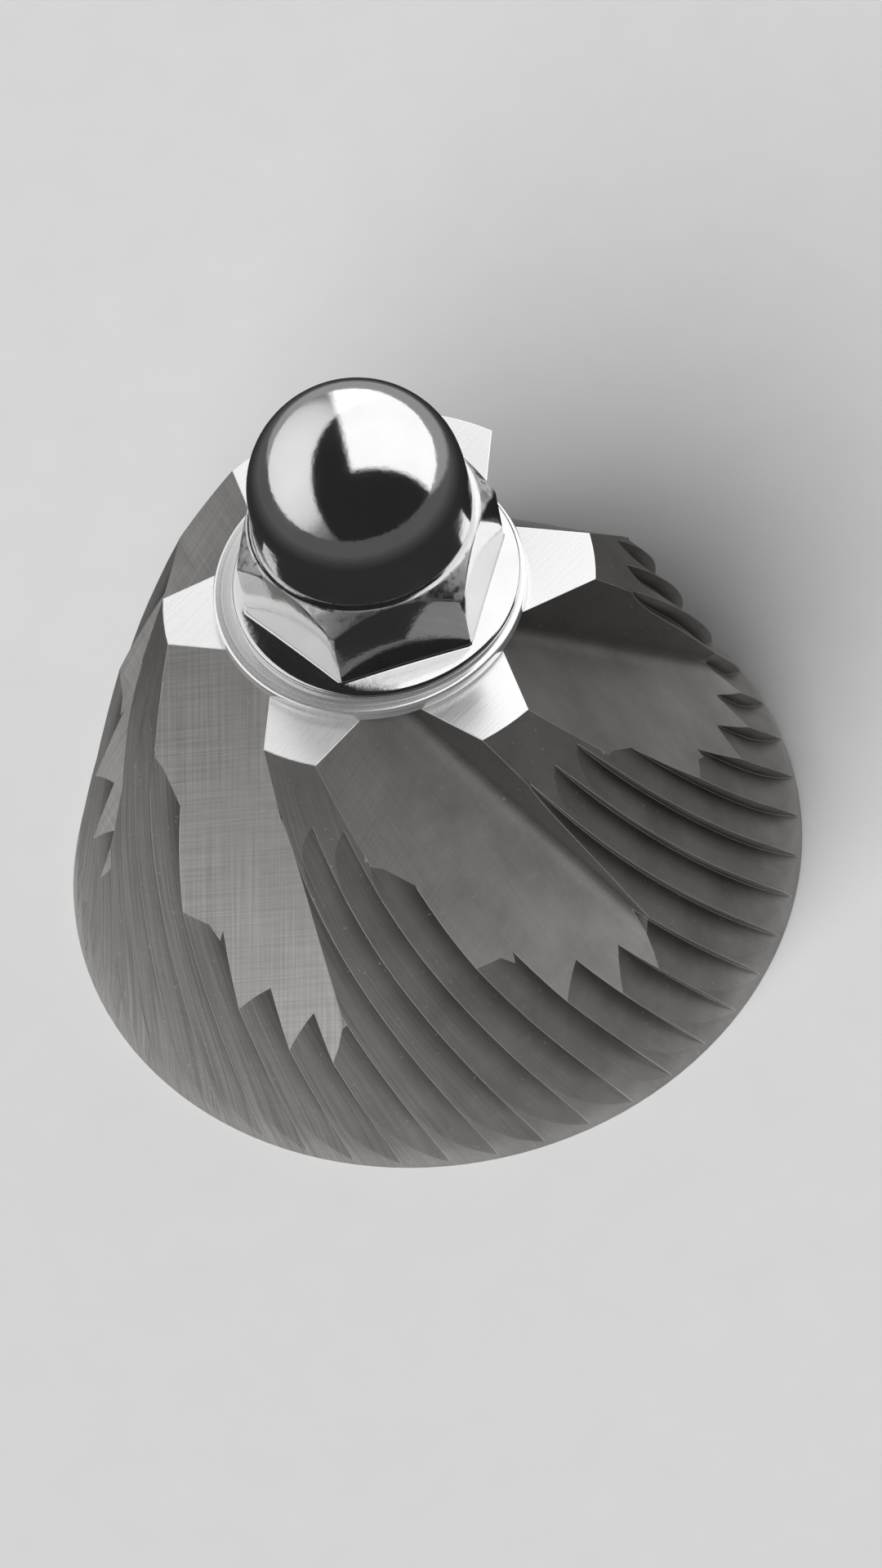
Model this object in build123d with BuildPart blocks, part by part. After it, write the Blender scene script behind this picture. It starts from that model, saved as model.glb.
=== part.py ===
from build123d import *
from math import cos, sin, radians
import os

# Conical burr of a coffee grinder, with the washer and the flanged dome nut that hold it down.
# Millimetres. The base of the burr lies on z = 0 and its axis is the z axis.

# Burr blank: a straight cone, an arc above it, then a straight land under the flat top
burr_height = 26.9
burr_base_radius = 21.2
burr_top_radius = 12.13
cone_height = 13.4
cone_top_radius = 17.47
top_land_height = 5.0

# Burr flutes: straight V cuts that slant down round the cone
flute_count = 6
lobe_angle = 55.9
lobe_wall_offset = -1.70
lobe_ramp_offset = 1.40
wall_side_angle = 18.4
ramp_side_angle = 17.5
ramp_side_turn = 6.5
flute_shift_along = 0.77
flute_shift_across = -0.028
flute_floor_radius = 1.2
flute_floor_flats = 3
flute_cut_depth = 21.0

# Burr fine teeth: helical saw-tooth grooves that start below the top and run out at the base
tooth_count = 48
tooth_groove_depth = 1.0
tooth_rise = 0.95
tooth_wall_angle = 0.6
tooth_twist = 1.5
tooth_first_angle = 236.65
groove_top_depth = 3.5
groove_end_height = 0.3
groove_flatness = 6
groove_levels = 19

# Burr bore and drive slot
shaft_diameter = 8.0
bore_clearance = 0.1
drive_slot_width = 6.0
drive_slot_length = 20.0
drive_slot_depth = 5.0

# Washer
washer_outer_diameter = 17.6
washer_hole_clearance = 1.0
washer_thickness = 0.8
washer_edge_chamfer = 0.2
washer_slip_share = 0.9

# Cap nut
nut_height = 14.9
hex_across_flats = 13.0
hex_height = 6.3
hex_corner_drop = 1.5
hex_turn = 5.0
dome_diameter = 12.2
flange_diameter = 16.2
flange_rim_height = 0.6
flange_cone_height = 0.75
flange_rim_chamfer = 0.25
tapped_hole_diameter = 6.8
tapped_hole_depth = 11.0
drill_point_height = 2.0

bore_diameter = shaft_diameter + 2 * bore_clearance
washer_hole_diameter = shaft_diameter + washer_hole_clearance
washer_base = burr_height
nut_base = washer_base + washer_thickness
washer_slip = washer_hole_clearance * washer_slip_share / 2
groove_bottom_depth = burr_height - groove_end_height


# Radius of the blank at a depth below the flat top
def blank_radius(depth):
    height = burr_height - depth
    slope = (burr_base_radius - cone_top_radius) / cone_height
    if height <= cone_height:
        return burr_base_radius - slope * height
    rise = burr_height - cone_height
    lean = (cone_top_radius - burr_top_radius - slope * rise) / rise**2
    above = height - cone_height
    return cone_top_radius - slope * above - lean * above**2


# Section of the toothed form at a depth: a groove floor point and a crest point for every tooth
def tooth_section(depth):
    middle = (groove_top_depth + groove_bottom_depth) / 2
    half = (groove_bottom_depth - groove_top_depth) / 2
    sink = tooth_groove_depth * (1 - abs((depth - middle) / half) ** groove_flatness)
    floor_radius = blank_radius(depth) - sink
    crest_radius = floor_radius + tooth_rise
    points = []
    for tooth in range(tooth_count):
        floor_angle = radians(tooth_first_angle + tooth_twist * depth + tooth * 360 / tooth_count)
        crest_angle = floor_angle + radians(tooth_wall_angle)
        points.append((floor_radius * cos(floor_angle), floor_radius * sin(floor_angle)))
        points.append((crest_radius * cos(crest_angle), crest_radius * sin(crest_angle)))
    return points


# Toothed form: what the fine grooves leave standing, drawn a little past both ends of the grooves
zone_overrun = 0.8
zone_trim = 0.2
groove_zone_top = groove_top_depth - zone_overrun
groove_zone_bottom = groove_bottom_depth + zone_overrun
level_step = (groove_zone_bottom - groove_zone_top) / (groove_levels - 1)
with BuildPart() as tooth_form:
    for level in range(groove_levels):
        level_depth = groove_zone_top + level_step * level
        with BuildSketch(Plane.XY.offset(burr_height - level_depth)):
            Polygon(*tooth_section(level_depth), align=None)
    loft()

# Groove tool: a ring with the toothed form taken out of it
tool_overreach = 3.0
with BuildPart() as groove_tool:
    with Locations((0, 0, burr_height - groove_zone_bottom + zone_trim)):
        Cylinder(
            burr_base_radius + tool_overreach,
            groove_zone_bottom - groove_zone_top - 2 * zone_trim,
            align=(Align.CENTER, Align.CENTER, Align.MIN),
        )
    add(tooth_form.part, mode=Mode.SUBTRACT)

# Flute tool: one V cut, drawn beside a lobe that points along x
flute_pitch = 360 / flute_count
flute_overshoot = 1.0
flute_reach = burr_base_radius + tool_overreach
wall_heading = flute_pitch + wall_side_angle
wall_direction = Vector(cos(radians(wall_heading)), sin(radians(wall_heading)), 0)
wall_corner = Vector(burr_top_radius, lobe_wall_offset, 0).rotate(Axis.Z, flute_pitch)
ramp_direction = Vector(cos(radians(ramp_side_angle)), -sin(radians(ramp_side_angle)), 0)
ramp_corner = Vector(burr_top_radius, lobe_ramp_offset, 0)
corner_gap = wall_corner - ramp_corner
crossing = ramp_direction.X * wall_direction.Y - ramp_direction.Y * wall_direction.X
along_ramp = (corner_gap.X * wall_direction.Y - corner_gap.Y * wall_direction.X) / crossing
flute_floor = ramp_corner + ramp_direction * along_ramp
with BuildPart() as flute_tool:
    for flute_depth in (-flute_overshoot, flute_cut_depth):
        ramp_heading = -ramp_side_angle - ramp_side_turn * flute_depth / flute_cut_depth
        floor_x = flute_floor.X + flute_shift_across * flute_depth
        floor_y = flute_floor.Y + flute_shift_along * flute_depth
        ramp_end_x = floor_x + flute_reach * cos(radians(ramp_heading))
        ramp_end_y = floor_y + flute_reach * sin(radians(ramp_heading))
        wall_end_x = floor_x + flute_reach * cos(radians(wall_heading))
        wall_end_y = floor_y + flute_reach * sin(radians(wall_heading))
        half_corner = radians(wall_heading - ramp_heading) / 2
        bisector = radians(wall_heading + ramp_heading) / 2
        round_x = floor_x + flute_floor_radius / sin(half_corner) * cos(bisector)
        round_y = floor_y + flute_floor_radius / sin(half_corner) * sin(bisector)
        outline = [(wall_end_x, wall_end_y), (ramp_end_x, ramp_end_y)]
        for flat in range(flute_floor_flats + 1):
            swing = (180 - wall_heading + ramp_heading) * flat / flute_floor_flats
            turn = radians(ramp_heading - 90 - swing)
            corner_x = round_x + flute_floor_radius * cos(turn)
            corner_y = round_y + flute_floor_radius * sin(turn)
            outline.append((corner_x, corner_y))
        with BuildSketch(Plane.XY.offset(burr_height - flute_depth)):
            Polygon(*outline, align=None)
    loft(ruled=True)

# Burr
with BuildPart() as burr:
    with BuildSketch(Plane.XZ):
        with BuildLine():
            flank = Line((burr_base_radius, 0), (cone_top_radius, cone_height))
            crown = TangentArc(
                flank @ 1,
                (blank_radius(top_land_height), burr_height - top_land_height),
                tangent=flank % 1,
            )
            Polyline(
                crown @ 1,
                (burr_top_radius, burr_height),
                (0, burr_height),
                (0, 0),
                (burr_base_radius, 0),
            )
        make_face()
    revolve(axis=Axis.Z)
    add(groove_tool.part, mode=Mode.SUBTRACT)
    with PolarLocations(0, flute_count, start_angle=lobe_angle):
        add(flute_tool.part, mode=Mode.SUBTRACT)
    with Locations((0, 0, 0)):
        Cylinder(
            bore_diameter / 2,
            burr_height,
            align=(Align.CENTER, Align.CENTER, Align.MIN),
            mode=Mode.SUBTRACT,
        )
    with BuildSketch(Plane.XY):
        SlotOverall(drive_slot_length, drive_slot_width)
    extrude(amount=drive_slot_depth, mode=Mode.SUBTRACT)
burr.part.label = "burr"

# Washer, resting a little to one side as the hole allows
with BuildPart() as washer:
    with BuildSketch(Plane.XY.offset(washer_base)):
        with Locations((-washer_slip, 0)):
            Circle(washer_outer_diameter / 2)
            Circle(washer_hole_diameter / 2, mode=Mode.SUBTRACT)
    extrude(amount=washer_thickness)
    outer_edges = washer.edges().filter_by(GeomType.CIRCLE).sort_by(SortBy.RADIUS)[-2:]
    chamfer(outer_edges, washer_edge_chamfer)
washer.part.label = "washer"

# Cap nut
hex_corner_radius = hex_across_flats / 2 / cos(radians(30))
chamfer_slope = hex_corner_drop / (hex_corner_radius - hex_across_flats / 2)
chamfer_foot_radius = hex_across_flats / 2 + hex_height / chamfer_slope
dome_radius = dome_diameter / 2
dome_centre = nut_height - dome_radius
neck_foot = flange_rim_height
with BuildPart() as cap_nut:
    with BuildSketch(Plane.XY.offset(nut_base)):
        RegularPolygon(hex_across_flats / 2, 6, major_radius=False, rotation=hex_turn)
    extrude(amount=hex_height)
    with BuildSketch(Plane.XZ):
        Polygon(
            (0, nut_base),
            (chamfer_foot_radius, nut_base),
            (hex_across_flats / 2, nut_base + hex_height),
            (0, nut_base + hex_height),
            align=None,
        )
    revolve(axis=Axis.Z, mode=Mode.INTERSECT)
    with BuildSketch(Plane.XZ) as flange_section:
        flange_radius = flange_diameter / 2
        Polygon(
            (0, nut_base),
            (flange_radius, nut_base),
            (flange_radius, nut_base + flange_rim_height),
            (dome_radius, nut_base + flange_cone_height),
            (0, nut_base + flange_cone_height),
            align=None,
        )
        rim_corners = flange_section.vertices().sort_by(Axis.X)[-2:]
        chamfer(rim_corners, flange_rim_chamfer)
    revolve(axis=Axis.Z)
    with BuildSketch(Plane.XZ):
        with BuildLine():
            neck = Line((dome_radius, nut_base + neck_foot), (dome_radius, nut_base + dome_centre))
            dome = CenterArc((0, nut_base + dome_centre), dome_radius, 0, 90)
            Polyline(dome @ 1, (0, nut_base + neck_foot), (dome_radius, nut_base + neck_foot))
        make_face()
    revolve(axis=Axis.Z)
    with BuildSketch(Plane.XZ):
        hole_radius = tapped_hole_diameter / 2
        Polygon(
            (0, nut_base),
            (hole_radius, nut_base),
            (hole_radius, nut_base + tapped_hole_depth),
            (0, nut_base + tapped_hole_depth + drill_point_height),
            align=None,
        )
    revolve(axis=Axis.Z, mode=Mode.SUBTRACT)
cap_nut.part.label = "cap_nut"

os.makedirs("parts", exist_ok=True)
export_step(burr.part, "parts/burr.step")
export_step(washer.part, "parts/washer.step")
export_step(cap_nut.part, "parts/cap_nut.step")
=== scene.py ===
from math import atan2, cos, hypot, pi, radians, sin, sqrt

import bmesh
import bpy
from mathutils import Matrix, Vector


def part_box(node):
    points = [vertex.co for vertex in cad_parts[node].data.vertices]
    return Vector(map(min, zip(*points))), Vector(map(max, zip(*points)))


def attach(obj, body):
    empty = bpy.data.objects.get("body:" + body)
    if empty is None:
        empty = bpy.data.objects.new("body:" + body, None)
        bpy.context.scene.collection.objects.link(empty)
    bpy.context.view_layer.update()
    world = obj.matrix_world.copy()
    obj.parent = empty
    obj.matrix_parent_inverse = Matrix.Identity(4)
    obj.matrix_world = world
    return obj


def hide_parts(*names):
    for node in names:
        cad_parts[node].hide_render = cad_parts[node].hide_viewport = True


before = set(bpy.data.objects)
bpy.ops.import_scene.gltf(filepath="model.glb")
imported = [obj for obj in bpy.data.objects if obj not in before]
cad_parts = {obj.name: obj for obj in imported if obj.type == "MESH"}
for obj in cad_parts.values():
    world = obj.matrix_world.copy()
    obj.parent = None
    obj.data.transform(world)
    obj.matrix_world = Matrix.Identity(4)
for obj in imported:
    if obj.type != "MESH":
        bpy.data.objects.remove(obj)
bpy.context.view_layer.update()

# Burr: the grinding cone, cut from one piece of hardened tool steel and fixed by the nut above it.
# Six slanting flutes and forty-eight fine teeth are milled into its side, so the flanks are satin
# and show cutter marks, while the top is ground flat and bright. Every cutting edge is painted paler,
# partly as wear, partly as a painted highlight.
burr_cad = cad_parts["burr"]
burr_mesh = bpy.data.meshes.new("burr_cone")
burr = bpy.data.objects.new("burr_cone", burr_mesh)
bpy.context.scene.collection.objects.link(burr)

# The blank, the flutes and the teeth as the solid has them, in millimetres
to_mm = 1000
burr_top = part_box("burr")[1].z * to_mm
base_radius = 21.2
cone_height = 13.4
cone_top_radius = 17.47
top_radius = 12.13
lobe_count = 6
lobe_angle = radians(55.9)
flute_cut_depth = 21.0
flute_floor = Vector((6.225, 3.262))
flute_floor_drift = Vector((-0.028, 0.77))
flute_line = Vector((*flute_floor_drift, -1.0)).normalized()
ramp_line = Vector((0.954, -0.301, 0.0))
ramp_heading = radians(-17.5)
ramp_heading_drift = radians(-6.5) / flute_cut_depth
wall_line = Vector((0.201, 0.980, 0.0))
wall_heading = radians(78.4)
tooth_twist = radians(1.5)
groove_depth = 1.0

# What tells the cuts apart: the reach of the bore and of the drive slot, how level a flat has to be,
# how near a face lies to the side of a flute, and how far the rounded floor of a flute reaches
bore_reach = 4.3
slot_reach = 10.2
slot_low = 0.01
slot_high = 5.1
level_enough = 0.99
on_side = 0.06
off_side = 0.04
side_start = 0.5
floor_reach = 1.15
least_gap = 0.001

# Lines of the finish: flutes are kept apart by a step, and angles become lengths at a middle radius
lobe_step = 40
wall_step = 20
base_middle = 15
bore_middle = 4
cone_middle = 18
grind_line = Vector((0.8, 0.6, 0.0))
grind_across = Vector((-0.6, 0.8, 0.0))
weld_distance = 2e-6
sharp_bend = radians(11)
sharp_bend_in_flute = radians(34)
FLUTE, TEETH, GROUND = 0, 1, 2


# Radius of the cone before the cuts, straight below and curving in above, at a height
def blank_radius(height):
    slope = (base_radius - cone_top_radius) / cone_height
    above = max(0.0, height - cone_height)
    rise = burr_top - cone_height
    lean = (cone_top_radius - top_radius - slope * rise) / rise**2
    return base_radius - slope * height - lean * above**2


# How far a point lies along and off the ramp and the wall of the flute beside a lobe.
# The point is turned with its lobe on to the x axis.
def flute_distances(point):
    depth = burr_top - point.z
    from_floor = Vector((point.x, point.y)) - flute_floor - flute_floor_drift * depth
    heading = ramp_heading + ramp_heading_drift * depth
    ramp_along = from_floor.x * cos(heading) + from_floor.y * sin(heading)
    ramp_gap = from_floor.y * cos(heading) - from_floor.x * sin(heading)
    wall_along = from_floor.x * cos(wall_heading) + from_floor.y * sin(wall_heading)
    wall_gap = from_floor.x * sin(wall_heading) - from_floor.y * cos(wall_heading)
    return ramp_along, ramp_gap, wall_along, wall_gap


burr_shape = bmesh.new()
burr_shape.from_mesh(burr_cad.data)
bmesh.ops.remove_doubles(burr_shape, verts=burr_shape.verts, dist=weld_distance)
for layer in list(burr_shape.loops.layers.uv):
    burr_shape.loops.layers.uv.remove(layer)
cut_uv = burr_shape.loops.layers.uv.new("cut")
burr_shape.verts.layers.float.new("wall_share")
burr_shape.verts.layers.float.new("sunk")
wall_share = burr_shape.verts.layers.float["wall_share"]
sunk = burr_shape.verts.layers.float["sunk"]
for vert in burr_shape.verts:
    point = vert.co * to_mm
    below = blank_radius(point.z) - hypot(point.x, point.y)
    vert[sunk] = min(1.0, max(0.0, below / groove_depth))
in_flute = set()
for face in burr_shape.faces:
    face.smooth = True
    middle = face.calc_center_median() * to_mm
    middle_angle = atan2(middle.y, middle.x)
    middle_radius = hypot(middle.x, middle.y)
    in_slot = middle_radius < slot_reach and slot_low < middle.z < slot_high
    cut = "tooth"
    if middle_radius < bore_reach or in_slot:
        cut = "bore"
    elif abs(face.normal.z) > level_enough:
        cut = "flat"
    else:
        for lobe in range(lobe_count):
            back = Matrix.Rotation(-lobe_angle - lobe * 2 * pi / lobe_count, 3, "Z")
            ramp_along, ramp_gap, wall_along, wall_gap = flute_distances(back @ middle)
            if abs(ramp_gap) < on_side and ramp_along > side_start:
                cut = "ramp"
            elif abs(wall_gap) < on_side and wall_along > side_start:
                cut = "wall"
            elif hypot(ramp_along, ramp_gap) < floor_reach and min(ramp_gap, wall_gap) > off_side:
                cut = "ramp"
            if cut != "tooth":
                in_flute.add(face)
                break
    face.material_index = TEETH
    if face in in_flute:
        face.material_index = FLUTE
        for vert in face.verts:
            _, off_ramp, _, off_wall = flute_distances(back @ (vert.co * to_mm))
            share = off_ramp / max(off_ramp + off_wall, least_gap)
            vert[wall_share] = min(1.0, max(0.0, share))
    elif cut == "flat":
        face.material_index = GROUND
    for loop in face.loops:
        point = loop.vert.co * to_mm
        angle = atan2(point.y, point.x)
        angle = middle_angle + (angle - middle_angle + pi) % (2 * pi) - pi
        if cut == "ramp":
            local = back @ point
            loop[cut_uv].uv = (local.dot(flute_line), local.dot(ramp_line) + lobe_step * lobe)
        elif cut == "wall":
            local = back @ point
            over_wall = local.dot(wall_line) + lobe_step * lobe + wall_step
            loop[cut_uv].uv = (local.dot(flute_line), over_wall)
        elif cut == "flat" and middle.z > burr_top / 2:
            loop[cut_uv].uv = (point.dot(grind_line), point.dot(grind_across))
        elif cut == "flat":
            loop[cut_uv].uv = (angle * base_middle, hypot(point.x, point.y))
        elif cut == "bore":
            loop[cut_uv].uv = (angle * bore_middle, point.z)
        else:
            depth = burr_top - point.z
            loop[cut_uv].uv = (depth, (angle - tooth_twist * depth) * cone_middle)
for edge in burr_shape.edges:
    bend = edge.calc_face_angle(0)
    within_flute = all(face in in_flute for face in edge.link_faces)
    edge.smooth = bend < sharp_bend or (within_flute and bend < sharp_bend_in_flute)
burr_shape.to_mesh(burr_mesh)
burr_shape.free()
if "custom_normal" in burr_mesh.attributes:
    burr_mesh.attributes.remove(burr_mesh.attributes["custom_normal"])

# Machining lines: long thin streaks along the first coordinate, fine across the second
lines_group = bpy.data.node_groups.new("machining_lines", "ShaderNodeTree")
lines_group.interface.new_socket("Vector", in_out="INPUT", socket_type="NodeSocketVector")
lines_group.interface.new_socket("Along", in_out="INPUT", socket_type="NodeSocketFloat")
lines_group.interface.new_socket("Across", in_out="INPUT", socket_type="NodeSocketFloat")
lines_group.interface.new_socket("Lines", in_out="OUTPUT", socket_type="NodeSocketFloat")
nodes = lines_group.nodes
links = lines_group.links
entry = nodes.new("NodeGroupInput")
leave = nodes.new("NodeGroupOutput")
stretch = nodes.new("ShaderNodeCombineXYZ")
links.new(entry.outputs["Along"], stretch.inputs["X"])
links.new(entry.outputs["Across"], stretch.inputs["Y"])
links.new(entry.outputs["Across"], stretch.inputs["Z"])
stretched = nodes.new("ShaderNodeVectorMath")
stretched.operation = "MULTIPLY"
links.new(entry.outputs["Vector"], stretched.inputs[0])
links.new(stretch.outputs["Vector"], stretched.inputs[1])
streaks = nodes.new("ShaderNodeTexNoise")
streaks.inputs["Scale"].default_value = 1.0
streaks.inputs["Detail"].default_value = 4.0
streaks.inputs["Roughness"].default_value = 0.62
links.new(stretched.outputs["Vector"], streaks.inputs["Vector"])
spread = nodes.new("ShaderNodeMapRange")
spread.inputs["From Min"].default_value = 0.25
spread.inputs["From Max"].default_value = 0.75
links.new(streaks.outputs["Fac"], spread.inputs["Value"])
links.new(spread.outputs["Result"], leave.inputs["Lines"])

# Edge wear and painted highlight: finds where a surface turns sharply within a small distance, rounds
# it for the light, and gives a mask by which the cut steel paints its edges paler, partly as wear,
# partly as a painted highlight
edge_group = bpy.data.node_groups.new("edge_wear_and_painted_highlight", "ShaderNodeTree")
edge_group.interface.new_socket("Normal", in_out="OUTPUT", socket_type="NodeSocketVector")
edge_group.interface.new_socket("Edge", in_out="OUTPUT", socket_type="NodeSocketFloat")
nodes = edge_group.nodes
links = edge_group.links
leave = nodes.new("NodeGroupOutput")
rounded = nodes.new("ShaderNodeBevel")
rounded.samples = 8
rounded.inputs["Radius"].default_value = 0.00009
surface = nodes.new("ShaderNodeNewGeometry")
agree = nodes.new("ShaderNodeVectorMath")
agree.operation = "DOT_PRODUCT"
links.new(rounded.outputs["Normal"], agree.inputs[0])
links.new(surface.outputs["Normal"], agree.inputs[1])
turned_away = nodes.new("ShaderNodeMapRange")
turned_away.inputs["From Min"].default_value = 0.985
turned_away.inputs["From Max"].default_value = 0.80
links.new(agree.outputs["Value"], turned_away.inputs["Value"])
links.new(rounded.outputs["Normal"], leave.inputs["Normal"])
links.new(turned_away.outputs["Result"], leave.inputs["Edge"])


# Milled flutes and cut teeth: warm grey satin steel, with lines along each cut, fainter ones across it,
# soft mottling and a few specks of dust. It is brighter towards the base. Painted shade darkens a flute
# towards its steep wall and a tooth towards the floor of its groove. Sharp edges are painted paler,
# partly as wear, partly as a painted highlight.
def cut_steel(name, dark, light, roughness, cross_share, painted_shade_by, painted_shade_from, painted_shade_tone):
    finish = bpy.data.materials.new(name)
    finish.use_nodes = True
    nodes = finish.node_tree.nodes
    links = finish.node_tree.links
    steel = nodes["Principled BSDF"]
    steel.inputs["Metallic"].default_value = 0.45
    place = nodes.new("ShaderNodeUVMap")
    place.uv_map = "cut"
    body = nodes.new("ShaderNodeTexCoord")
    along = nodes.new("ShaderNodeGroup")
    along.node_tree = lines_group
    along.inputs["Along"].default_value = 0.10
    along.inputs["Across"].default_value = 7.5
    links.new(place.outputs["UV"], along.inputs["Vector"])
    across = nodes.new("ShaderNodeGroup")
    across.node_tree = lines_group
    across.inputs["Along"].default_value = 8.5
    across.inputs["Across"].default_value = 0.15
    links.new(place.outputs["UV"], across.inputs["Vector"])
    mottle = nodes.new("ShaderNodeTexNoise")
    mottle.inputs["Scale"].default_value = 260.0
    mottle.inputs["Detail"].default_value = 6.0
    mottle.inputs["Roughness"].default_value = 0.62
    links.new(body.outputs["Object"], mottle.inputs["Vector"])
    hatch = nodes.new("ShaderNodeMix")
    hatch.data_type = "FLOAT"
    hatch.inputs["Factor"].default_value = cross_share
    links.new(along.outputs["Lines"], hatch.inputs["A"])
    links.new(across.outputs["Lines"], hatch.inputs["B"])
    level = nodes.new("ShaderNodeSeparateXYZ")
    links.new(body.outputs["Object"], level.inputs["Vector"])
    freshness = nodes.new("ShaderNodeMapRange")
    freshness.inputs["From Min"].default_value = -0.012
    freshness.inputs["From Max"].default_value = 0.002
    freshness.inputs["To Min"].default_value = 0.75
    freshness.inputs["To Max"].default_value = 0.18
    links.new(level.outputs["X"], freshness.inputs["Value"])
    tone = nodes.new("ShaderNodeMix")
    tone.data_type = "FLOAT"
    links.new(freshness.outputs["Result"], tone.inputs["Factor"])
    links.new(mottle.outputs["Fac"], tone.inputs["A"])
    links.new(hatch.outputs["Result"], tone.inputs["B"])
    grey = nodes.new("ShaderNodeValToRGB")
    grey.color_ramp.elements[0].position = 0.3
    grey.color_ramp.elements[0].color = (*dark, 1)
    grey.color_ramp.elements[1].position = 0.7
    grey.color_ramp.elements[1].color = (*light, 1)
    links.new(tone.outputs["Result"], grey.inputs["Fac"])
    # Painted shade: the colour darkens towards a flute's steep wall and towards the floor of a tooth's
    # groove
    deep = nodes.new("ShaderNodeAttribute")
    deep.attribute_name = painted_shade_by
    shade = nodes.new("ShaderNodeMapRange")
    shade.interpolation_type = "SMOOTHSTEP"
    shade.inputs["From Min"].default_value = painted_shade_from
    shade.inputs["From Max"].default_value = 1.0
    shade.inputs["To Min"].default_value = 1.0
    shade.inputs["To Max"].default_value = painted_shade_tone
    links.new(deep.outputs["Fac"], shade.inputs["Value"])
    # Brighter towards the base and darker towards the top; this tone is multiplied into the colour
    brighter_towards_base = nodes.new("ShaderNodeMapRange")
    brighter_towards_base.inputs["From Min"].default_value = 0.026
    brighter_towards_base.inputs["From Max"].default_value = 0.004
    brighter_towards_base.inputs["To Min"].default_value = 0.64
    brighter_towards_base.inputs["To Max"].default_value = 1.28
    links.new(level.outputs["Z"], brighter_towards_base.inputs["Value"])
    painted_shade_and_height_tone = nodes.new("ShaderNodeMath")
    painted_shade_and_height_tone.operation = "MULTIPLY"
    links.new(shade.outputs["Result"], painted_shade_and_height_tone.inputs[0])
    links.new(brighter_towards_base.outputs["Result"], painted_shade_and_height_tone.inputs[1])
    grey_with_painted_shade = nodes.new("ShaderNodeVectorMath")
    grey_with_painted_shade.operation = "SCALE"
    links.new(grey.outputs["Color"], grey_with_painted_shade.inputs["Vector"])
    links.new(painted_shade_and_height_tone.outputs["Value"], grey_with_painted_shade.inputs["Scale"])
    dust = nodes.new("ShaderNodeTexNoise")
    dust.inputs["Scale"].default_value = 3200.0
    dust.inputs["Detail"].default_value = 1.0
    links.new(body.outputs["Object"], dust.inputs["Vector"])
    specks = nodes.new("ShaderNodeMapRange")
    specks.inputs["From Min"].default_value = 0.70
    specks.inputs["From Max"].default_value = 0.78
    specks.inputs["To Max"].default_value = 0.30
    links.new(dust.outputs["Fac"], specks.inputs["Value"])
    dusty = nodes.new("ShaderNodeMix")
    dusty.data_type = "RGBA"
    dusty.inputs["B"].default_value = (0.52, 0.50, 0.48, 1)
    links.new(specks.outputs["Result"], dusty.inputs["Factor"])
    links.new(grey_with_painted_shade.outputs["Vector"], dusty.inputs["A"])
    edge_wear_and_highlight = nodes.new("ShaderNodeGroup")
    edge_wear_and_highlight.node_tree = edge_group
    # Painted highlight, partly wear: where the surface turns sharply the colour is mixed towards a
    # paler steel
    painted_edge_highlight = nodes.new("ShaderNodeMix")
    painted_edge_highlight.data_type = "RGBA"
    painted_edge_highlight.inputs["B"].default_value = (0.60, 0.585, 0.57, 1)
    links.new(edge_wear_and_highlight.outputs["Edge"], painted_edge_highlight.inputs["Factor"])
    links.new(dusty.outputs["Result"], painted_edge_highlight.inputs["A"])
    links.new(painted_edge_highlight.outputs["Result"], steel.inputs["Base Color"])
    satin = nodes.new("ShaderNodeMapRange")
    satin.inputs["To Min"].default_value = roughness[0]
    satin.inputs["To Max"].default_value = roughness[1]
    links.new(hatch.outputs["Result"], satin.inputs["Value"])
    links.new(satin.outputs["Result"], steel.inputs["Roughness"])
    relief = nodes.new("ShaderNodeBump")
    relief.inputs["Strength"].default_value = 0.20
    relief.inputs["Distance"].default_value = 0.00003
    links.new(hatch.outputs["Result"], relief.inputs["Height"])
    links.new(edge_wear_and_highlight.outputs["Normal"], relief.inputs["Normal"])
    links.new(relief.outputs["Normal"], steel.inputs["Normal"])
    return finish


milled_flute = cut_steel(
    "milled_flute",
    dark=(0.320, 0.307, 0.295),
    light=(0.490, 0.473, 0.457),
    roughness=(0.28, 0.40),
    cross_share=0.45,
    painted_shade_by="wall_share",
    painted_shade_from=0.0,
    painted_shade_tone=0.28,
)
burr_mesh.materials.append(milled_flute)
cut_teeth = cut_steel(
    "cut_teeth",
    dark=(0.172, 0.165, 0.158),
    light=(0.270, 0.260, 0.250),
    roughness=(0.36, 0.48),
    cross_share=0.15,
    painted_shade_by="sunk",
    painted_shade_from=0.35,
    painted_shade_tone=0.40,
)
burr_mesh.materials.append(cut_teeth)

# Ground steel: the flat top and base, bright, with fine straight lines above and turned ones below
ground = bpy.data.materials.new("ground_steel")
ground.use_nodes = True
nodes = ground.node_tree.nodes
links = ground.node_tree.links
steel = nodes["Principled BSDF"]
steel.inputs["Metallic"].default_value = 0.8
place = nodes.new("ShaderNodeUVMap")
place.uv_map = "cut"
grind = nodes.new("ShaderNodeGroup")
grind.node_tree = lines_group
grind.inputs["Along"].default_value = 0.2
grind.inputs["Across"].default_value = 9.0
links.new(place.outputs["UV"], grind.inputs["Vector"])
bright = nodes.new("ShaderNodeValToRGB")
bright.color_ramp.elements[0].color = (0.91, 0.91, 0.905, 1)
bright.color_ramp.elements[1].color = (0.99, 0.99, 0.985, 1)
links.new(grind.outputs["Lines"], bright.inputs["Fac"])
links.new(bright.outputs["Color"], steel.inputs["Base Color"])
fine = nodes.new("ShaderNodeMapRange")
fine.inputs["To Min"].default_value = 0.24
fine.inputs["To Max"].default_value = 0.34
links.new(grind.outputs["Lines"], fine.inputs["Value"])
links.new(fine.outputs["Result"], steel.inputs["Roughness"])
edge_wear_and_highlight = nodes.new("ShaderNodeGroup")
edge_wear_and_highlight.node_tree = edge_group
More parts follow.
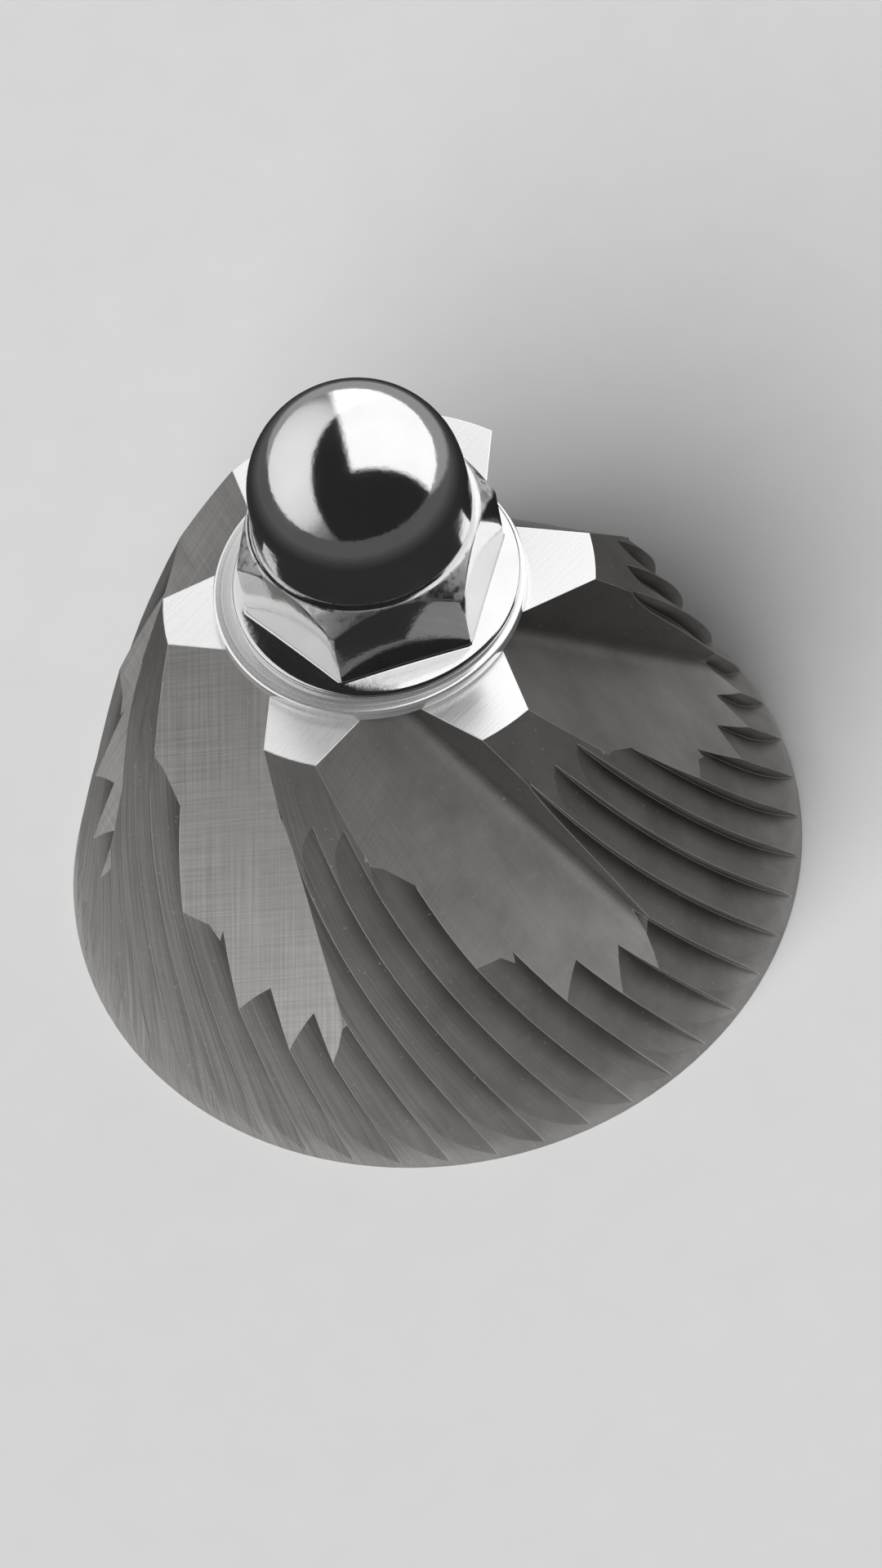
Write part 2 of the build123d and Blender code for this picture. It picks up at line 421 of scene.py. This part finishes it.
relief = nodes.new("ShaderNodeBump")
relief.inputs["Strength"].default_value = 0.10
relief.inputs["Distance"].default_value = 0.00002
links.new(grind.outputs["Lines"], relief.inputs["Height"])
links.new(edge_wear_and_highlight.outputs["Normal"], relief.inputs["Normal"])
links.new(relief.outputs["Normal"], steel.inputs["Normal"])
burr_mesh.materials.append(ground)
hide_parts("burr")
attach(burr, "root")

# Washer: a flat ring of bright steel, turned on a lathe, that spreads the pull of the nut.
# Its hole is wider than the shaft, so it lies a little to one side, held only by the clamping.
washer_low, washer_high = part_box("washer")
washer_mesh = bpy.data.meshes.new("washer_ring")
washer = bpy.data.objects.new("washer_ring", washer_mesh)
bpy.context.scene.collection.objects.link(washer)
washer_middle = (washer_low + washer_high) / 2
washer_outer = (washer_high.x - washer_low.x) / 2
washer_half = (washer_high.z - washer_low.z) / 2
washer_hole = 0.0045
at_washer_hole = washer_hole + 1e-6
outer_corner_round = 0.0002
hole_corner_round = 0.00008
washer_steps = 128
washer_sharp_bend = radians(32)
seam_gap = 1e-7

washer_shape = bmesh.new()
corners = []
for out, up in ((washer_hole, -1), (washer_outer, -1), (washer_outer, 1), (washer_hole, 1)):
    corners.append(washer_shape.verts.new((out, 0, up * washer_half)))
washer_shape.faces.new(corners)
bmesh.ops.bevel(
    washer_shape,
    geom=corners[1:3],
    offset=outer_corner_round,
    segments=4,
    profile=0.5,
    affect="VERTICES",
    material=-1,
)
bmesh.ops.bevel(
    washer_shape,
    geom=[v for v in washer_shape.verts if v.co.x < at_washer_hole],
    offset=hole_corner_round,
    segments=2,
    profile=0.5,
    affect="VERTICES",
    material=-1,
)
section = list(washer_shape.faces)
outline = list(washer_shape.edges)
bmesh.ops.spin(
    washer_shape,
    geom=outline,
    cent=(0, 0, 0),
    axis=(0, 0, 1),
    angle=2 * pi,
    steps=washer_steps,
    use_merge=True,
)
bmesh.ops.delete(washer_shape, geom=section, context="FACES_ONLY")
bmesh.ops.remove_doubles(washer_shape, verts=washer_shape.verts, dist=seam_gap)
bmesh.ops.recalc_face_normals(washer_shape, faces=washer_shape.faces)
bmesh.ops.translate(washer_shape, verts=washer_shape.verts, vec=washer_middle)
for face in washer_shape.faces:
    face.smooth = True
washer_shape.to_mesh(washer_mesh)
washer_shape.free()
washer_mesh.set_sharp_from_angle(angle=washer_sharp_bend)

turned = bpy.data.materials.new("turned_washer_steel")
turned.use_nodes = True
nodes = turned.node_tree.nodes
links = turned.node_tree.links
steel = nodes["Principled BSDF"]
steel.inputs["Metallic"].default_value = 0.85
body = nodes.new("ShaderNodeTexCoord")
centre = nodes.new("ShaderNodeMapping")
centre.inputs["Location"].default_value = (-washer_middle.x, -washer_middle.y, -washer_middle.z)
links.new(body.outputs["Object"], centre.inputs["Vector"])
polar = nodes.new("ShaderNodeVectorMath")
polar.operation = "LENGTH"
links.new(centre.outputs["Vector"], polar.inputs[0])
ring = nodes.new("ShaderNodeCombineXYZ")
links.new(polar.outputs["Value"], ring.inputs["Y"])
lathe = nodes.new("ShaderNodeGroup")
lathe.node_tree = lines_group
lathe.inputs["Along"].default_value = 1.0
lathe.inputs["Across"].default_value = 6000.0
links.new(ring.outputs["Vector"], lathe.inputs["Vector"])
bright = nodes.new("ShaderNodeValToRGB")
bright.color_ramp.elements[0].color = (0.86, 0.86, 0.855, 1)
bright.color_ramp.elements[1].color = (0.97, 0.97, 0.965, 1)
links.new(lathe.outputs["Lines"], bright.inputs["Fac"])
links.new(bright.outputs["Color"], steel.inputs["Base Color"])
fine = nodes.new("ShaderNodeMapRange")
fine.inputs["To Min"].default_value = 0.20
fine.inputs["To Max"].default_value = 0.30
links.new(lathe.outputs["Lines"], fine.inputs["Value"])
links.new(fine.outputs["Result"], steel.inputs["Roughness"])
relief = nodes.new("ShaderNodeBump")
relief.inputs["Strength"].default_value = 0.12
relief.inputs["Distance"].default_value = 0.00002
links.new(lathe.outputs["Lines"], relief.inputs["Height"])
links.new(relief.outputs["Normal"], steel.inputs["Normal"])
washer_mesh.materials.append(turned)
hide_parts("washer")
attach(washer, "root")

# Cap nut: a flanged hexagon nut with a closed dome, forged from steel, tapped from below and chromed.
# It screws on to the end of the shaft and clamps the washer and the burr. Its corners are rounded, the
# hexagon runs into the flange in a soft hollow, and spanners have scuffed its chamfer.
nut_mesh = bpy.data.meshes.new("cap_nut_shell")
nut = bpy.data.objects.new("cap_nut_shell", nut_mesh)
bpy.context.scene.collection.objects.link(nut)
nut_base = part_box("cap_nut")[0].z * to_mm
half_flats = 6.5
half_side_angle = radians(30)
corner_round = 0.28
corner_turn = radians(5)
corner_slack = 1.0001
flange_radius = 8.1
flange_rim_height = 0.6
flange_slope = 0.10
hex_top = 6.3
chamfer_slope = 1.49
hollow_round = 0.2
flat_edge_round = 0.14
chamfer_edge_round = 0.12
ring_round = 0.08
least_slant = 0.001
neck_radius = 6.1
dome_middle = 8.8
dome_steps = 24
nut_steps = 216
nut_sharp_bend = radians(40)

# Last rows of the hexagon's parts, counted upwards: the hollow over the flange, the flat, its rounded
# edge, the chamfer, and the rounded edge of the ring under the neck
hollow_end = 5
flat_end = 8
flat_edge_end = 12
chamfer_end = 15
ring_end = 19
worn_rows = range(flat_end + 1, ring_end)

# One side of the nut: the drilled and countersunk hole, the flange with its rounded rim, the hexagon,
# the neck and the dome. A row is a radius and a height, or a number where the hexagon decides both.
hole_rows = [(0.0, 13.0), (3.4, 11.0), (3.4, 0.6), (4.2, 0.0)]
rim_rows = [(7.85, 0.0), (7.975, 0.034), (8.066, 0.125), (flange_radius, 0.25)]
rim_rows += [(flange_radius, 0.36), (8.06, 0.485), (7.97, 0.575), (7.85, 0.62)]
hexagon_rows = list(range(ring_end + 1))
neck_rows = [(6.25, hex_top), (6.2, 7.1), (6.14, 8.0)]
nut_rows = hole_rows + rim_rows + hexagon_rows + neck_rows
for step in range(dome_steps + 1):
    tilt = radians(90) * step / dome_steps
    nut_rows.append((neck_radius * cos(tilt), dome_middle + neck_radius * sin(tilt)))


# A point on a curve that rounds the corner between two straight runs
def eased(start, corner, end, share):
    left = 1 - share
    return left * left * start + 2 * left * share * corner + share * share * end


# Radius and height of one row of the hexagon at an angle round the nut
def hexagon_point(row, angle):
    off_corner = (angle - corner_turn + half_side_angle) % (2 * half_side_angle) - half_side_angle
    reach = (half_flats - corner_round) / cos(half_side_angle)
    if abs(reach * sin(off_corner)) < corner_round * sin(half_side_angle) * corner_slack:
        side = sqrt(corner_round**2 - (reach * sin(off_corner)) ** 2)
        wall = reach * cos(off_corner) + side
    else:
        wall = half_flats / cos(half_side_angle - abs(off_corner))
    foot = flange_rim_height + (flange_radius - wall) * flange_slope
    crest = hex_top - (wall - half_flats) * chamfer_slope
    slant = hypot(wall - half_flats, hex_top - crest)
    reach_in = min(chamfer_edge_round, slant / 2) / max(slant, least_slant)
    flange = Vector((wall + hollow_round, foot - hollow_round * flange_slope))
    flat_low = Vector((wall, foot + hollow_round))
    flat_high = Vector((wall, crest - flat_edge_round))
    flat_edge = Vector((wall, crest))
    ring_edge = Vector((half_flats, hex_top))
    ring = Vector((half_flats - ring_round, hex_top))
    chamfer_low = flat_edge.lerp(ring_edge, reach_in)
    chamfer_high = ring_edge.lerp(flat_edge, reach_in)
    if row <= hollow_end:
        return eased(flange, Vector((wall, foot)), flat_low, row / hollow_end)
    if row < flat_end:
        return flat_low.lerp(flat_high, (row - hollow_end) / (flat_end - hollow_end))
    if row <= flat_edge_end:
        return eased(flat_high, flat_edge, chamfer_low, (row - flat_end) / (flat_edge_end - flat_end))
    if row < chamfer_end:
        rise = (row - flat_edge_end) / (chamfer_end - flat_edge_end)
        return chamfer_low.lerp(chamfer_high, rise)
    return eased(chamfer_high, ring_edge, ring, (row - chamfer_end) / (ring_end - chamfer_end))


nut_shape = bmesh.new()
worn = nut_shape.verts.layers.float.new("worn")
row_mark = nut_shape.verts.layers.int.new("row")
side = []
for number, row in enumerate(nut_rows):
    out, up = row if isinstance(row, tuple) else hexagon_point(row, 0)
    point = nut_shape.verts.new((out, 0, nut_base + up))
    point[row_mark] = number
    side.append(point)
side_edges = [nut_shape.edges.new(pair) for pair in zip(side, side[1:])]
bmesh.ops.spin(
    nut_shape,
    geom=side + side_edges,
    cent=(0, 0, 0),
    axis=(0, 0, 1),
    angle=2 * pi,
    steps=nut_steps,
    use_merge=True,
)
for point in nut_shape.verts:
    row = nut_rows[point[row_mark]]
    if not isinstance(row, tuple):
        angle = atan2(point.co.y, point.co.x)
        out, up = hexagon_point(row, angle)
        point.co = (out * cos(angle), out * sin(angle), nut_base + up)
        point[worn] = 1.0 if row in worn_rows else 0.0
bmesh.ops.scale(nut_shape, verts=nut_shape.verts, vec=(1 / to_mm, 1 / to_mm, 1 / to_mm))
bmesh.ops.remove_doubles(nut_shape, verts=nut_shape.verts, dist=seam_gap)
bmesh.ops.recalc_face_normals(nut_shape, faces=nut_shape.faces)
for face in nut_shape.faces:
    face.smooth = True
nut_shape.to_mesh(nut_mesh)
nut_shape.free()
nut_mesh.set_sharp_from_angle(angle=nut_sharp_bend)

chrome = bpy.data.materials.new("nut_chrome")
chrome.use_nodes = True
nodes = chrome.node_tree.nodes
links = chrome.node_tree.links
plate = nodes["Principled BSDF"]
plate.inputs["Metallic"].default_value = 1.0
body = nodes.new("ShaderNodeTexCoord")
cloud = nodes.new("ShaderNodeTexNoise")
cloud.inputs["Scale"].default_value = 420.0
cloud.inputs["Detail"].default_value = 4.0
links.new(body.outputs["Object"], cloud.inputs["Vector"])
tint = nodes.new("ShaderNodeValToRGB")
tint.color_ramp.elements[0].color = (0.65, 0.65, 0.65, 1)
tint.color_ramp.elements[1].color = (0.77, 0.77, 0.77, 1)
links.new(cloud.outputs["Fac"], tint.inputs["Fac"])
handled = nodes.new("ShaderNodeAttribute")
handled.attribute_name = "worn"
scuffs = nodes.new("ShaderNodeTexNoise")
scuffs.inputs["Scale"].default_value = 1400.0
scuffs.inputs["Detail"].default_value = 4.0
links.new(body.outputs["Object"], scuffs.inputs["Vector"])
dirt = nodes.new("ShaderNodeMapRange")
dirt.inputs["From Min"].default_value = 0.64
dirt.inputs["From Max"].default_value = 0.76
links.new(scuffs.outputs["Fac"], dirt.inputs["Value"])
dirt_on_edge = nodes.new("ShaderNodeMath")
dirt_on_edge.operation = "MULTIPLY"
links.new(dirt.outputs["Result"], dirt_on_edge.inputs[0])
links.new(handled.outputs["Fac"], dirt_on_edge.inputs[1])
soiled = nodes.new("ShaderNodeMix")
soiled.data_type = "RGBA"
soiled.inputs["B"].default_value = (0.10, 0.095, 0.09, 1)
links.new(dirt_on_edge.outputs["Value"], soiled.inputs["Factor"])
links.new(tint.outputs["Color"], soiled.inputs["A"])
links.new(soiled.outputs["Result"], plate.inputs["Base Color"])
haze = nodes.new("ShaderNodeMapRange")
haze.inputs["To Min"].default_value = 0.05
haze.inputs["To Max"].default_value = 0.14
links.new(cloud.outputs["Fac"], haze.inputs["Value"])
scuffed = nodes.new("ShaderNodeMapRange")
scuffed.inputs["From Min"].default_value = 0.36
scuffed.inputs["From Max"].default_value = 0.56
scuffed.inputs["To Min"].default_value = 0.25
links.new(scuffs.outputs["Fac"], scuffed.inputs["Value"])
scuffed_edge = nodes.new("ShaderNodeMath")
scuffed_edge.operation = "MULTIPLY"
links.new(scuffed.outputs["Result"], scuffed_edge.inputs[0])
links.new(handled.outputs["Fac"], scuffed_edge.inputs[1])
dulled = nodes.new("ShaderNodeMix")
dulled.data_type = "FLOAT"
dulled.inputs["B"].default_value = 0.55
links.new(scuffed_edge.outputs["Value"], dulled.inputs["Factor"])
links.new(haze.outputs["Result"], dulled.inputs["A"])
links.new(dulled.outputs["Result"], plate.inputs["Roughness"])
pits = nodes.new("ShaderNodeTexNoise")
pits.inputs["Scale"].default_value = 3000.0
pits.inputs["Detail"].default_value = 3.0
links.new(body.outputs["Object"], pits.inputs["Vector"])
relief = nodes.new("ShaderNodeBump")
relief.inputs["Strength"].default_value = 0.25
relief.inputs["Distance"].default_value = 0.00002
links.new(pits.outputs["Fac"], relief.inputs["Height"])
links.new(relief.outputs["Normal"], plate.inputs["Normal"])
nut_mesh.materials.append(chrome)
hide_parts("cap_nut")
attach(nut, "root")

# Floor: a wide matt sheet of pale paper that the burr stands on.
# It is studio, not part of the object.
floor_radius = 1.2
floor_drop = 0.00002
floor_mesh = bpy.data.meshes.new("paper_floor")
floor = bpy.data.objects.new("paper_floor", floor_mesh)
bpy.context.scene.collection.objects.link(floor)
floor_shape = bmesh.new()
bmesh.ops.create_circle(floor_shape, cap_ends=True, segments=96, radius=floor_radius)
bmesh.ops.translate(floor_shape, verts=floor_shape.verts, vec=(0, 0, -floor_drop))
floor_shape.to_mesh(floor_mesh)
floor_shape.free()
paper = bpy.data.materials.new("pale_paper")
paper.use_nodes = True
nodes = paper.node_tree.nodes
links = paper.node_tree.links
sheet = nodes["Principled BSDF"]
sheet.inputs["Roughness"].default_value = 0.9
sheet.inputs["Specular IOR Level"].default_value = 0.1
body = nodes.new("ShaderNodeTexCoord")
grain = nodes.new("ShaderNodeTexNoise")
grain.inputs["Scale"].default_value = 300.0
links.new(body.outputs["Object"], grain.inputs["Vector"])
pale = nodes.new("ShaderNodeValToRGB")
pale.color_ramp.elements[0].color = (0.79, 0.79, 0.79, 1)
pale.color_ramp.elements[1].color = (0.83, 0.83, 0.83, 1)
links.new(grain.outputs["Fac"], pale.inputs["Fac"])
links.new(pale.outputs["Color"], sheet.inputs["Base Color"])
floor_mesh.materials.append(paper)

# Light: one bright wall of a studio behind and to the right, a dimmer one at the left, dark in front.
# The polished nut mirrors both walls and the dark between them. Matt surfaces get little light from
# the walls and most from a soft key light at the front left, which is not mirrored.
right_wall_light = 1.34
front_light = 0.025
wall_share_on_matt = 0.10
left_wall_light = 1.0
left_wall_side = (-0.644, 0.425, -0.636)
left_wall_middle = (-0.814, 0.296, 0.500)
left_wall_tones = ((0.42, 0.28), (0.50, 0.48), (0.58, 0.72), (0.70, 0.86), (0.95, 1.0))
room = bpy.data.worlds.new("studio_room")
bpy.context.scene.world = room
room.use_nodes = True
nodes = room.node_tree.nodes
links = room.node_tree.links
outlook = nodes.new("ShaderNodeTexCoord")
heading = nodes.new("ShaderNodeSeparateXYZ")
links.new(outlook.outputs["Generated"], heading.inputs["Vector"])
to_the_right = nodes.new("ShaderNodeMapRange")
to_the_right.interpolation_type = "SMOOTHSTEP"
to_the_right.inputs["From Min"].default_value = -0.09
to_the_right.inputs["From Max"].default_value = 0.02
to_the_right.inputs["To Max"].default_value = right_wall_light
links.new(heading.outputs["X"], to_the_right.inputs["Value"])
not_in_front = nodes.new("ShaderNodeMapRange")
not_in_front.interpolation_type = "SMOOTHSTEP"
not_in_front.inputs["From Min"].default_value = -0.36
not_in_front.inputs["From Max"].default_value = -0.24
links.new(heading.outputs["Y"], not_in_front.inputs["Value"])
leftward = nodes.new("ShaderNodeVectorMath")
leftward.operation = "DOT_PRODUCT"
leftward.inputs[1].default_value = left_wall_side
links.new(outlook.outputs["Generated"], leftward.inputs[0])
left_wall_edge = nodes.new("ShaderNodeMapRange")
left_wall_edge.interpolation_type = "SMOOTHSTEP"
left_wall_edge.inputs["From Min"].default_value = -0.10
left_wall_edge.inputs["From Max"].default_value = -0.01
left_wall_edge.inputs["To Max"].default_value = left_wall_light
links.new(leftward.outputs["Value"], left_wall_edge.inputs["Value"])
across_left_wall = nodes.new("ShaderNodeVectorMath")
across_left_wall.operation = "DOT_PRODUCT"
across_left_wall.inputs[1].default_value = left_wall_middle
links.new(outlook.outputs["Generated"], across_left_wall.inputs[0])
left_wall_tone = nodes.new("ShaderNodeValToRGB")
left_wall_tone.color_ramp.elements.remove(left_wall_tone.color_ramp.elements[1])
left_wall_tone.color_ramp.elements[0].color = (0, 0, 0, 1)
for place_on_wall, tone_there in left_wall_tones:
    stop = left_wall_tone.color_ramp.elements.new(place_on_wall)
    stop.color = (tone_there, tone_there, tone_there, 1)
links.new(across_left_wall.outputs["Value"], left_wall_tone.inputs["Fac"])
left_wall = nodes.new("ShaderNodeMath")
left_wall.operation = "MULTIPLY_ADD"
left_wall.inputs[2].default_value = front_light
links.new(left_wall_edge.outputs["Result"], left_wall.inputs[0])
links.new(left_wall_tone.outputs["Color"], left_wall.inputs[1])
walls = nodes.new("ShaderNodeMath")
walls.operation = "MULTIPLY_ADD"
links.new(to_the_right.outputs["Result"], walls.inputs[0])
links.new(not_in_front.outputs["Result"], walls.inputs[1])
links.new(left_wall.outputs["Value"], walls.inputs[2])
ray = nodes.new("ShaderNodeLightPath")
share = nodes.new("ShaderNodeMapRange")
share.inputs["To Min"].default_value = 1.0
share.inputs["To Max"].default_value = wall_share_on_matt
links.new(ray.outputs["Is Diffuse Ray"], share.inputs["Value"])
brightness = nodes.new("ShaderNodeMath")
brightness.operation = "MULTIPLY"
links.new(walls.outputs["Value"], brightness.inputs[0])
links.new(share.outputs["Result"], brightness.inputs[1])
sky = nodes["Background"]
sky.inputs["Color"].default_value = (1, 1, 1, 1)
links.new(brightness.outputs["Value"], sky.inputs["Strength"])

key_aim = Vector((0.44, 0.54, -0.72))
key_data = bpy.data.lights.new("key_light", "SUN")
key_data.angle = radians(50)
key_data.energy = 3.2
key = bpy.data.objects.new("key_light", key_data)
key.rotation_euler = key_aim.to_track_quat("-Z", "Y").to_euler()
key.visible_glossy = False
bpy.context.scene.collection.objects.link(key)

# A dark card lies round the burr, unseen by the camera and lighting nothing, paler further out and at
# the back. The nut mirrors it as a dark band under the horizon.
card_inner_radius = 0.0225
card_outer_share = 51
card_height = 0.0004
card_back = (0.45, 0.89, 0.0)
card_mesh = bpy.data.meshes.new("card_round_the_floor")
card = bpy.data.objects.new("card_round_the_floor", card_mesh)
bpy.context.scene.collection.objects.link(card)
card_shape = bmesh.new()
bmesh.ops.create_circle(card_shape, cap_ends=False, segments=96, radius=card_inner_radius)
inner_edge = list(card_shape.edges)
outward = bmesh.ops.extrude_edge_only(card_shape, edges=inner_edge)
outer_edge = [v for v in outward["geom"] if isinstance(v, bmesh.types.BMVert)]
bmesh.ops.scale(card_shape, verts=outer_edge, vec=(card_outer_share, card_outer_share, 1))
bmesh.ops.translate(card_shape, verts=card_shape.verts, vec=(0, 0, card_height))
card_shape.to_mesh(card_mesh)
card_shape.free()
dark_card = bpy.data.materials.new("dark_card")
dark_card.use_nodes = True
nodes = dark_card.node_tree.nodes
links = dark_card.node_tree.links
card_face = nodes["Principled BSDF"]
card_face.inputs["Roughness"].default_value = 1.0
card_face.inputs["Specular IOR Level"].default_value = 0.0
body = nodes.new("ShaderNodeTexCoord")
out_from_middle = nodes.new("ShaderNodeVectorMath")
out_from_middle.operation = "LENGTH"
links.new(body.outputs["Object"], out_from_middle.inputs[0])
further_out = nodes.new("ShaderNodeMapRange")
further_out.inputs["From Min"].default_value = 0.05
further_out.inputs["From Max"].default_value = 0.11
further_out.inputs["To Min"].default_value = 0.04
further_out.inputs["To Max"].default_value = 0.14
links.new(out_from_middle.outputs["Value"], further_out.inputs["Value"])
towards_back = nodes.new("ShaderNodeVectorMath")
towards_back.operation = "DOT_PRODUCT"
towards_back.inputs[1].default_value = card_back
links.new(body.outputs["Object"], towards_back.inputs[0])
behind = nodes.new("ShaderNodeMapRange")
behind.inputs["From Min"].default_value = 0.075
behind.inputs["From Max"].default_value = 0.10
behind.inputs["To Max"].default_value = 0.30
links.new(towards_back.outputs["Value"], behind.inputs["Value"])
card_grey = nodes.new("ShaderNodeMath")
links.new(further_out.outputs["Result"], card_grey.inputs[0])
links.new(behind.outputs["Result"], card_grey.inputs[1])
links.new(card_grey.outputs["Value"], card_face.inputs["Base Color"])
card_mesh.materials.append(dark_card)
card.visible_camera = False
card.visible_diffuse = False
card.visible_shadow = False
bpy.context.scene.view_settings.view_transform = "Standard"

# Camera: the photograph's viewpoint and tilt, with a longer lens so that the burr fills the frame
camera_data = bpy.data.cameras.new("viewpoint")
camera = bpy.data.objects.new("viewpoint", camera_data)
bpy.context.scene.collection.objects.link(camera)
camera_place = Vector((-0.003355, -0.33853, 0.49547))
camera_target = Vector((0.00105, -0.00533, 0.01467))
camera_roll = radians(12.04)
towards = (camera_target - camera_place).to_track_quat("-Z", "Y").to_matrix()
turn = towards @ Matrix.Rotation(-camera_roll, 3, "Z")
camera.matrix_world = Matrix.Translation(camera_place) @ turn.to_4x4()
camera_data.sensor_fit = "HORIZONTAL"
camera_data.sensor_width = 36.0
camera_data.lens = 424.0
camera_data.clip_start = 0.01
camera_data.clip_end = 10.0
bpy.context.scene.camera = camera
